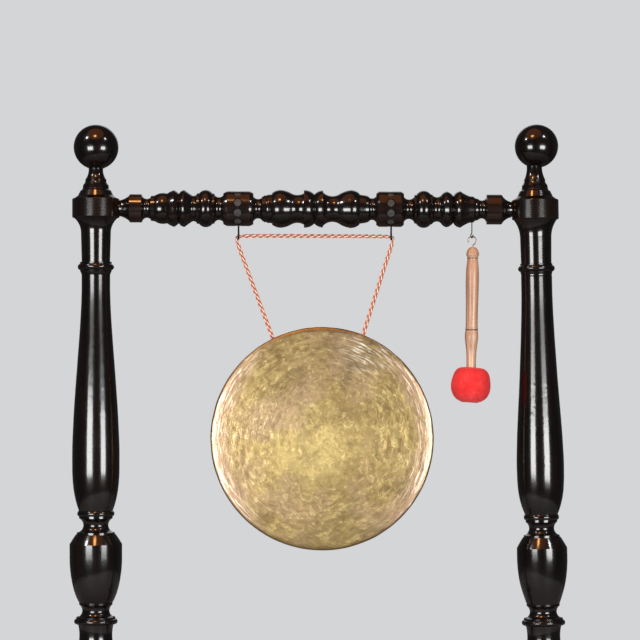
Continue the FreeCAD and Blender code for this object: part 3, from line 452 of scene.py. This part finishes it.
# ---- meshes ----
def new_piece(name, points, faces, material, body):
    """A smooth-shaded mesh object that rides on a body."""
    mesh = bpy.data.meshes.new(name)
    mesh.from_pydata([tuple(p) for p in points], [], faces)
    mesh.update()
    made = bmesh.new()
    made.from_mesh(mesh)
    bmesh.ops.recalc_face_normals(made, faces=made.faces)
    made.to_mesh(mesh)
    made.free()
    mesh.shade_smooth()
    mesh.materials.append(material)
    piece = bpy.data.objects.new(name, mesh)
    bpy.context.scene.collection.objects.link(piece)
    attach(piece, body)
    return piece


def loft_faces(rings, around, first=0):
    """Quads between rings of points, with one flat face over each end; first is the first point's number."""
    faces = []
    for i in range(rings - 1):
        low = first + i * around
        for j in range(around):
            k = (j + 1) % around
            faces.append((low + j, low + k, low + around + k, low + around + j))
    last = first + (rings - 1) * around
    faces.append(tuple(first + j for j in reversed(range(around))))
    faces.append(tuple(last + j for j in range(around)))
    return faces


def walk(line, step):
    """Evenly spaced points on a line that was read from a curve: how far along, where, and their tangents."""
    line = np.array(line)
    along = np.concatenate([[0], np.cumsum(np.linalg.norm(np.diff(line, axis=0), axis=1))])
    count = int(along[-1] / step) + 1
    at = np.linspace(0, along[-1], count)
    points = np.stack([np.interp(at, along, line[:, k]) for k in range(3)], axis=1)
    tangents = np.gradient(points, axis=0)
    tangents /= np.linalg.norm(tangents, axis=1)[:, None]
    return at, points, tangents


# ---- suspension cord ----
CORD_ROUTE = [               # over both hooks, from knot to knot, in millimetres
    (-105.4, 1110.5), (-173.6, 1290.0), (-192.8, 1343.0), (-189.8, 1348.6), (-133.7, 1349.4),
    (105.6, 1349.4), (161.5, 1348.6), (164.5, 1343.2), (147.2, 1289.3), (93.7, 1119.3),
]
STRANDS = 3
STRAND_RADIUS = 2.40 * MM
STRAND_OFFSET = 2.30 * MM    # of a strand's middle from the cord's
CORD_LAY = 45.6 * MM         # one turn of the strands
YARNS = 6                    # cream ones round the cord, with a salmon one after each
YARN_DRIFT = 420.0 * MM      # the yarns run almost straight along the cord
YARN_RELIEF = 0.10 * MM
HOOK_WIRE = 2.0 * MM         # radius
SQUEEZE = 0.28               # how much thinner the cord is where it bears on a hook
BEARING_NEAR = 7.0 * MM      # fully squeezed this close to a hook's wire
BEARING_FAR = 14.0 * MM


def route_point(index):
    x, z = CORD_ROUTE[index]
    return Vector((x * MM, 0.0, z * MM))


def route_line():
    """The route as one smooth NURBS line."""
    curve = bpy.data.curves.new("route", "CURVE")
    curve.dimensions = "3D"
    curve.resolution_u = 64
    spline = curve.splines.new("NURBS")
    spline.points.add(len(CORD_ROUTE) - 1)
    for point, (x, z) in zip(spline.points, CORD_ROUTE):
        point.co = (x * MM, 0.0, z * MM, 1.0)
    spline.order_u = 3
    spline.use_endpoint_u = True
    holder = bpy.data.objects.new("route", curve)
    mesh = bpy.data.meshes.new_from_object(holder)
    line = [tuple(v.co) for v in mesh.vertices]
    bpy.data.objects.remove(holder)
    bpy.data.meshes.remove(mesh)
    return line


def bearing(points):
    """1 where the cord bears on a hook's wire, fading to 0 a few millimetres away."""
    share = np.zeros(len(points))
    for name in ("left_gong_hook", "right_gong_hook"):
        low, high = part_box(name)
        wire = np.array([(low.x + high.x) / 2, 0.0, low.z + HOOK_WIRE])
        away = np.linalg.norm(points - wire, axis=1)
        share = np.maximum(share, np.clip((BEARING_FAR - away) / (BEARING_FAR - BEARING_NEAR), 0, 1))
    return share


def mark_yarns(piece, yarn, height):
    """Writes each point's yarn, and its height above the strands' hollows for the painted shade, for the yarn
    material to read.
    """
    colour = piece.data.color_attributes.new("yarn", "FLOAT_COLOR", "POINT")
    values = np.ones(yarn.shape + (4,))
    values[..., 0] = yarn
    values[..., 1] = height
    colour.data.foreach_set("color", values.ravel())


def make_cord(material):
    """The cord: one tube whose section is three strands that turn as it runs, thinned at the hooks."""
    line = route_line()
    at, points, tangents = walk(line, 0.9 * MM)
    around = 54
    turn = np.linspace(0, 2 * math.pi, around, endpoint=False)[None, :]
    lay = (2 * math.pi / CORD_LAY) * at[:, None]
    share = 2 * math.pi / STRANDS
    off = np.mod(turn - lay + share / 2, share) - share / 2       # from the nearest strand's middle
    height = STRAND_OFFSET * np.cos(off) + np.sqrt(STRAND_RADIUS ** 2 - (STRAND_OFFSET * np.sin(off)) ** 2)
    yarn_turn = YARNS * turn - (2 * math.pi / YARN_DRIFT) * at[:, None]
    radius = height + YARN_RELIEF * np.cos(2 * yarn_turn)
    radius *= (1 - SQUEEZE * bearing(points))[:, None]
    front = np.array([0.0, -1.0, 0.0])
    up = np.cross(front, tangents)
    spread = np.cos(turn)[..., None] * front + np.sin(turn)[..., None] * up[:, None, :]
    ring = points[:, None, :] + radius[..., None] * spread
    lowest, highest = height.min(), height.max()
    faces = loft_faces(len(at), around)
    cord = new_piece("twisted_cord", ring.reshape(-1, 3), faces, material, "sling")
    mark_yarns(cord, 0.5 - 0.5 * np.cos(yarn_turn), (height - lowest) / (highest - lowest))
    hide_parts("gong_cord")


KNOT_STEPS = 70
KNOT_AROUND = 14
KNOT_TURNS = 1.35            # of each strand round the knot
KNOT_LENGTH = 13.0 * MM
KNOT_RADIUS = 2.4 * MM       # of a strand's middle where it enters the knot
KNOT_BULGE = 4.4 * MM        # how much further out it goes
TAIL_START = 0.74            # share of a strand's length at which its tail leaves the knot
TAIL_LENGTH = 8.0 * MM
TAIL_SPLAY = 5.0 * MM
TAIL_TURN = 0.078            # radians


def knot_strand(start, axis, number):
    """One strand's middle line and radii: it bulges as it wraps round, then ends in a tapered tail."""
    side = Vector((0, -1, 0))
    other = axis.cross(side)
    line, sizes = [], []
    for i in range(KNOT_STEPS):
        t = i / (KNOT_STEPS - 1)
        wrap = min(1.0, t / TAIL_START)
        tail = max(0.0, t - TAIL_START) / (1 - TAIL_START)
        bulge = math.sin(math.pi * min(1.0, wrap * 1.02)) ** 0.45 if 0 < wrap < 0.98 else 0.0
        out = KNOT_RADIUS + KNOT_BULGE * bulge + TAIL_SPLAY * tail ** 2
        along = 1.5 * MM + KNOT_LENGTH * wrap + TAIL_LENGTH * tail
        turn = 2 * math.pi * (number / STRANDS + KNOT_TURNS * wrap) + TAIL_TURN * tail
        line.append(start + axis * along + (side * math.cos(turn) + other * math.sin(turn)) * out)
        sizes.append((2.45 - 0.5 * max(0.0, t - 0.8) / 0.2) * MM)
    return line, sizes


def strand_along(line, sizes):
    """Rings of points round a line, for one strand."""
    line = np.array(line)
    tangents = np.gradient(line, axis=0)
    tangents /= np.linalg.norm(tangents, axis=1)[:, None]
    rings = []
    side = np.cross(tangents[0], (0.31, 0.95, 0.05))
    for point, tangent, size in zip(line, tangents, sizes):
        side = side - tangent * np.dot(side, tangent)
        side /= np.linalg.norm(side)
        other = np.cross(tangent, side)
        for j in range(KNOT_AROUND):
            turn = 2 * math.pi * j / KNOT_AROUND
            rings.append(point + size * (math.cos(turn) * side + math.sin(turn) * other))
    return rings


def make_knot(name, start, towards, material):
    """A wall knot: the three strands wrap round each other, and end in short tails."""
    axis = (start - towards).normalized()
    points, faces = [], []
    for number in range(STRANDS):
        line, sizes = knot_strand(start, axis, number)
        faces += loft_faces(KNOT_STEPS, KNOT_AROUND, len(points))
        points += strand_along(line, sizes)
    knot = new_piece(name, points, faces, material, "sling")
    around = np.arange(KNOT_AROUND)[None, :] / KNOT_AROUND
    along = np.arange(KNOT_STEPS)[:, None] / 11
    yarn = 0.5 + 0.5 * np.sin(2 * math.pi * (2 * around + along))
    mark_yarns(knot, np.stack([yarn] * STRANDS), 0.85)
    return knot


# ---- gong ----
GONG_FACE = 1.7 * MM         # the sheet's thickness in the face
GONG_LIP = 3.6 * MM          # and in the rim
GONG_DEPTH = GONG_HIGH.y - GONG_LOW.y
GONG_SEGMENTS = 360
ROLL_START = 238 * MM        # the radius where the slightly crowned face begins to roll back
ROLL_END = 248 * MM          # and where it meets the tight bend into the rim
BEND_STEPS = 7
RIM_STEPS = 14
RIM_TAPER = 3 * MM           # how much narrower the rim is at its back
LIP_ROUND = 1.2 * MM
LIP_STEPS = 8
MARKS_END = 250 * MM         # the hammer marks fade out on the way to this radius
MARKS_FADE = 8 * MM
ROW_SPACING = 10.5 * MM      # of the rings of hammer marks
DENT_SPACING = 23 * MM       # along a ring
BROAD_DENTS = 46
HOLE_RADIUS = 6 * MM


class Meridian:
    """The gong's half section as (radius, depth, tilt) stations."""

    def __init__(self):
        self.stations = []

    def roll(self, start, radius, tilt, steps):
        """A tangent arc from a station out to a radius, where the face has this tilt."""
        r0, d0, t0 = start
        end = math.radians(tilt)
        bend = (radius - r0) / (math.sin(end) - math.sin(t0))
        for i in range(1, steps + 1):
            t = t0 + (end - t0) * i / steps
            self.stations.append((r0 + bend * (math.sin(t) - math.sin(t0)),
                                  d0 + bend * (math.cos(t0) - math.cos(t)), t))
        return self.stations[-1]


def hammer_marks(x, z):
    """The depth of the face's hammer marks: rings of long shallow dents, and a few broad ones."""
    draw = random.Random(41)
    depth = np.zeros_like(x)

    def dent(radius, turn, across, outwards, deep, skew):
        cx, cz = radius * math.cos(turn), radius * math.sin(turn)
        lean = turn + skew
        dx, dz = x - cx, z - cz
        radial = dx * math.cos(lean) + dz * math.sin(lean)
        tangent = dz * math.cos(lean) - dx * math.sin(lean)
        near = (np.abs(radial) < 3 * outwards) & (np.abs(tangent) < 3 * across)
        shape = np.exp(-0.5 * ((radial[near] / outwards) ** 2 + (tangent[near] / across) ** 2))
        depth[near] += deep * shape

    radius = 8.0 * MM
    while radius < 240 * MM:
        count = max(3, int(2 * math.pi * radius / DENT_SPACING))
        start = draw.uniform(0, 2 * math.pi)
        for i in range(count):
            if draw.random() < 0.22:     # some are missing
                continue
            turn = start + 2 * math.pi * (i + draw.uniform(-0.4, 0.4)) / count
            dent(radius + draw.gauss(0, 3.0) * MM, turn, draw.uniform(5, 10) * MM,
                 draw.uniform(2.6, 4.8) * MM, draw.uniform(0.10, 0.42) * MM, draw.gauss(0, 0.22))
        radius += ROW_SPACING
    for _ in range(BROAD_DENTS):
        radius = 215 * MM * math.sqrt(draw.random())
        dent(radius, draw.uniform(0, 2 * math.pi), draw.uniform(18, 34) * MM, draw.uniform(12, 22) * MM,
             draw.uniform(-0.45, 0.55) * MM, draw.gauss(0, 0.5))
    return depth


def rim_ripple(turns, run):
    """The slight unevenness of the rim; run is how far back each ring lies, from 0 to 1."""
    draw = random.Random(7)
    ripple = np.zeros((len(run), len(turns)))
    for _ in range(30):
        waves = draw.randint(9, 46)
        phase = draw.uniform(0, 2 * math.pi)
        sway = draw.uniform(-2.5, 2.5)
        ripple += 0.045 * MM * np.sin(waves * turns + phase + sway * math.pi * run)
    return ripple


def gong_section():
    """The outer half section from the middle of the face to the back of the rim, and its thickness."""
    section = Meridian()
    start = (0.6 * MM, 0.0, 0.0)
    section.stations.append(start)
    face_end = section.roll(start, ROLL_START, 2.9, 94)
    roll_end = section.roll(face_end, ROLL_END, 20.0, 15)
    face_count = len(section.stations)
    bend_depth = section.roll(roll_end, GONG_RADIUS, 90.0, BEND_STEPS)[1]
    for i in range(1, RIM_STEPS + 1):
        share = i / RIM_STEPS
        depth = bend_depth + (GONG_DEPTH - LIP_ROUND - bend_depth) * share
        section.stations.append((GONG_RADIUS - RIM_TAPER * share, depth, math.pi / 2))
    bent = np.clip((np.arange(len(section.stations)) - face_count) / BEND_STEPS, 0, 1)
    return np.array(section.stations), GONG_FACE + (GONG_LIP - GONG_FACE) * bent


def make_gong(material):
    """The gong as one closed skin: the outside, a rounded lip, and the inside back to the middle."""
    stations, thick = gong_section()
    radius, depth, lean = (column[:, None] for column in stations.T)
    turns = np.linspace(0, 2 * math.pi, GONG_SEGMENTS, endpoint=False)
    fade = np.clip((MARKS_END - radius) / MARKS_FADE, 0, 1)
    marks = hammer_marks(radius * np.cos(turns), radius * np.sin(turns)) * fade
    marks += rim_ripple(turns, depth / GONG_DEPTH) * (1 - fade)

    def surface(inset):
        """The marked surface, moved in by this much along its own normal."""
        sunk = marks + inset
        out = radius - np.sin(lean) * sunk
        back = GONG_LOW.y + depth + np.cos(lean) * sunk
        return np.stack([out * np.cos(turns), back, out * np.sin(turns)], axis=-1)

    front = surface(0.0)
    rear = surface(thick[:, None])
    lip = []
    for step in range(1, LIP_STEPS):
        turn = math.pi * step / LIP_STEPS
        blend = (1 - math.cos(turn)) / 2
        ring = front[-1] * (1 - blend) + rear[-1] * blend
        ring[:, 1] = np.maximum(front[-1][:, 1], rear[-1][:, 1]) + math.sin(turn) * LIP_ROUND
        lip.append(ring)
    rings = np.concatenate([front, np.array(lip), rear[::-1]])
    points = rings.reshape(-1, 3) + np.array([GONG_CENTRE.x, 0, GONG_CENTRE.z])
    faces = loft_faces(len(rings), GONG_SEGMENTS)
    gong = new_piece("hammered_gong", points, faces, material, "gong")
    drill(gong, route_point(0))
    drill(gong, route_point(-1))
    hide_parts("gong")


def drill(gong, inside):
    """Cuts the round hole in the rim that the cord goes through."""
    radial = (inside - GONG_CENTRE).normalized()
    rim = GONG_CENTRE + radial * (GONG_RADIUS - GONG_LIP / 2)
    made = bmesh.new()
    place = Matrix.Translation(rim) @ radial.to_track_quat("Z", "Y").to_matrix().to_4x4()
    bmesh.ops.create_cone(made, cap_ends=True, segments=32, radius1=HOLE_RADIUS, radius2=HOLE_RADIUS,
                          depth=5 * HOLE_RADIUS, matrix=place)
    mesh = bpy.data.meshes.new("drill")
    made.to_mesh(mesh)
    made.free()
    cutter = bpy.data.objects.new("drill", mesh)
    bpy.context.scene.collection.objects.link(cutter)
    cut = gong.modifiers.new("hole", "BOOLEAN")
    cut.operation = "DIFFERENCE"
    cut.solver = "EXACT"
    cut.object = cutter
    bpy.context.view_layer.update()
    done = bpy.data.meshes.new_from_object(gong.evaluated_get(bpy.context.evaluated_depsgraph_get()))
    gong.modifiers.clear()
    gong.data = done
    bpy.data.objects.remove(cutter)


# ---- rosettes ----
PETALS = 8
ROSETTES_ROUND_BLOCK = 10
BLOCK_RADIUS = 39.6 * MM
ROSETTE_SINKING = 3.0 * MM
ROSETTE_RADIUS = 9.5 * MM


def flower(floor, out, draw):
    """The points and faces of one carved flower, standing on its sinking's floor."""
    rings, around = 13, 64
    button = 0.30                # share of the radius that the raised button in the middle takes
    across = Vector((1, 0, 0))
    up = out.cross(across)
    points = []
    spin = draw.uniform(-0.12, 0.12)
    for i in range(rings):
        share = (i + 0.15) / (rings - 0.85)
        for j in range(around):
            turn = 2 * math.pi * j / around
            petal = abs(math.cos(PETALS / 2 * turn))
            edge = ROSETTE_RADIUS * (0.86 + 0.14 * math.sqrt(petal))
            rise = 0.9 + 0.9 * math.sin(math.pi * min(1.0, 1.15 * share)) * (0.25 + 0.75 * petal)
            if share < button:
                rise = 1.0 + 1.5 * math.sqrt(max(0.0, 1 - (share / button) ** 2))
            if i == rings - 1:
                rise = -0.4      # the outermost ring goes down into the floor
            way = across * math.cos(turn + spin) + up * math.sin(turn + spin)
            points.append(floor + way * edge * min(1.0, share) + out * rise * MM)
    return points, loft_faces(rings, around)


def make_rosettes(side, material):
    """The ring of carved flowers round one block of the rail."""
    draw = random.Random(5)
    low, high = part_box(side + "_rosettes")
    shade_falloff = (low + high) / 2
    points, faces = [], []
    for i in range(ROSETTES_ROUND_BLOCK):
        turn = math.radians(90 - i * 360 / ROSETTES_ROUND_BLOCK)
        out = Vector((0, -math.cos(turn), math.sin(turn)))
        more, quads = flower(shade_falloff + out * (BLOCK_RADIUS - ROSETTE_SINKING), out, draw)
        faces += [tuple(k + len(points) for k in quad) for quad in quads]
        points += more
    piece = new_piece(side + "_carved_rosettes", points, faces, material, "stand")
    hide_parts(side + "_rosettes")


# ---- felt head ----
FELT_LEAN = math.radians(3.6)
FELT_WIDEST = 0.44           # share of its height
FELT_SHOULDER = 0.40         # the smaller, the squarer
FELT_BASE = 0.72             # the same below its widest place
FELT_NECK = 11.9 * MM        # where it closes round the handle
FELT_GATHERS = 22            # round its neck
FELT_PUCKERS = 17            # under its base


def make_felt(material):
    """The felt head: a square-shouldered cushion drawn in round the handle, puckered under its base."""
    low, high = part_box("mallet_felt")
    shade_falloff = (low + high) / 2
    height = high.z - low.z - 1.2 * MM
    full = (high.x - low.x) / 2 - 0.5 * MM
    widest = low.z + 0.6 * MM + height * FELT_WIDEST
    rings, around = 84, 144
    draw = random.Random(12)
    lumps = [(draw.randint(1, 5), draw.uniform(0, 6.3), draw.uniform(0.5, 2.4), draw.uniform(0, 6.3))
             for _ in range(9)]
    lean = Matrix.Rotation(FELT_LEAN, 3, "Y")
    points = []
    for i in range(rings):
        tilt = math.radians(-89.9 + 179.8 * i / (rings - 1))
        lift = math.sin(tilt)
        if lift > 0:
            reach = height * (1 - FELT_WIDEST)
            width = max(full * math.cos(tilt) ** FELT_SHOULDER, FELT_NECK)
            drawn = max(0.0, 1 - (width - FELT_NECK) / (7 * MM))
        else:
            reach = height * FELT_WIDEST
            width = full * math.cos(tilt) ** FELT_BASE
            drawn = 0.0
        under = max(0.0, -lift - 0.93) / 0.07       # from 0 to 1 at the very bottom
        pucker = 0.9 * math.sin(math.pi * min(1, under)) ** 2
        gather = 0.30 * drawn * (1 - drawn) * 4
        for j in range(around):
            turn = 2 * math.pi * j / around
            lump = sum(math.sin(n * turn + p) * math.sin(m * lift * 3 + q) for n, p, m, q in lumps)
            out = width + 0.16 * lump * MM * min(1.0, width / full * 2)
            folds = pucker * math.cos(FELT_PUCKERS * turn + 0.6 * math.sin(3 * turn))
            folds += gather * math.cos(FELT_GATHERS * turn) - 1.2 * drawn ** 2 + 0.7 * under ** 2
            up = widest + reach * lift + folds * MM - shade_falloff.z
            points.append(shade_falloff + lean @ Vector((out * math.cos(turn), out * math.sin(turn), up)))
    felt = new_piece("felt_head", points, loft_faces(rings, around), material, "mallet")
    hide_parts("mallet_felt")


# ---- the scene ----
make_camera()
make_world()
make_floor()
make_light("left_softbox", (-1.96, -3.06, 0.92), (0, 0, 1.0), 1.65, 100, height=1.06)
make_light("right_softbox", (2.19, -3.12, 0.92), (0, 0, 1.0), 1.65, 100, height=1.06)
make_light("left_upper_box", (-1.96, -3.06, 1.80), (0, 0, 1.0), 1.1, 1.4, height=0.45)
make_light("right_upper_box", (2.19, -3.12, 1.80), (0, 0, 1.0), 1.1, 1.4, height=0.45)
make_light("left_ceiling", (-2.1, -1.1, 3.15), (0, 0, 1.2), 0.36, 17)
make_light("right_ceiling", (2.38, -1.7, 4.0), (0, 0, 1.2), 0.40, 24)
make_light("warm_ceiling", (-0.63, -1.75, 3.9), (0, 0, 1.2), 0.55, 24, (1.0, 0.45, 0.14))
make_light("warm_wall", (-0.5, -1.2, 4.6), (0, 0, 1.2), 4.4, 36, (1.0, 0.30, 0.09))
make_light("back_fill", (0.0, 3.9, 2.8), (0, 0, 0.9), 2.8, 12)
bpy.context.scene.view_settings.view_transform = "Standard"

ebony_upright = ebonised_wood("ebony_upright", "Z")
ebony_level = ebonised_wood("ebony_level", "X")
ebony_foot = ebonised_wood("ebony_foot", "Y")
for name in nodes:
    if name in ("top_rail", "lower_stretcher"):
        give(name, ebony_level)
    elif name in ("left_foot", "right_foot"):
        give(name, ebony_foot)
    elif "post" in name or "finial" in name or "bun" in name or "peg" in name:
        give(name, ebony_upright)
    elif name.endswith(("foot_bolt", "foot_washer")):
        give(name, metal(name, (0.42, 0.41, 0.40), 0.35, (0.12, 0.07, 0.04)))
    elif name in ("mallet_screw_hook", "mallet_head_screw", "mallet_head_washer"):
        give(name, metal(name, (0.44, 0.35, 0.34), 0.45, (0.24, 0.18, 0.17)))
    elif name == "mallet_hook":
        give(name, metal(name, (0.100, 0.056, 0.036), 0.50, (0.040, 0.022, 0.014)))
    elif "gong_hook" in name:
        give(name, metal(name, (0.022, 0.019, 0.017), 0.55, (0.010, 0.008, 0.007)))
give("mallet_handle", handle_wood())
give("mallet_core", pressed_cork())

yarn = twisted_yarn()
left_knot = make_knot("left_wall_knot", route_point(0), route_point(1), yarn)
right_knot = make_knot("right_wall_knot", route_point(-1), route_point(-2), yarn)
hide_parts("left_cord_knot")
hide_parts("right_cord_knot")
make_cord(yarn)
make_gong(hammered_bronze())
carving = carved_wood()
for side in ("left", "right"):
    make_rosettes(side, carving)
make_felt(red_felt())
